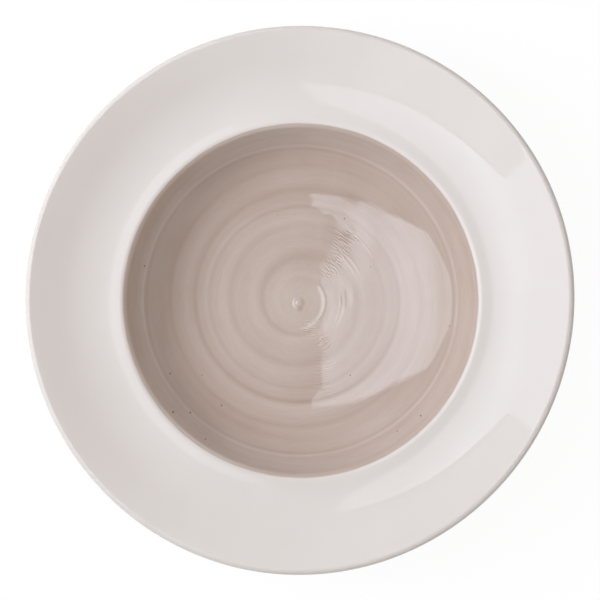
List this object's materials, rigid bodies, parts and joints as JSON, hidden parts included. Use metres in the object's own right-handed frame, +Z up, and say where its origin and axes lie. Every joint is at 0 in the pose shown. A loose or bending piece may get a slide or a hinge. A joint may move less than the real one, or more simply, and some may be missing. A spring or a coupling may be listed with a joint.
{
  "type": "pasta plate",
  "caption": "Round porcelain pasta plate with a deep tinted well marked by a spiral of throwing rings, a broad white upswept rim and a bare foot ring.",
  "frame": {"origin": "middle of the foot ring on the surface that the plate stands on", "axes": "+Z up through the middle of the well, out of the plate; X and Y lie in the plane of the rim, and the spiral's groove crosses +X at a radius of 29 mm"},
  "size_m": [0.28, 0.28, 0.0435],
  "materials": {
    "porcelain": "bare fired porcelain, ground flat and fine on the foot ring",
    "white_glaze": "glossy warm white glaze over the rim, lip and back",
    "taupe_glaze": "glossy taupe glaze with a few iron specks, pooled darker in the throwing rings",
    "recess_glaze": "glossy warm white glaze inside the foot ring"
  },
  "bodies": {
    "root": {"porcelain_body": "porcelain", "white_glaze": "white_glaze", "well_glaze": "taupe_glaze", "foot_recess_glaze": "recess_glaze"}
  },
  "joints": []
}
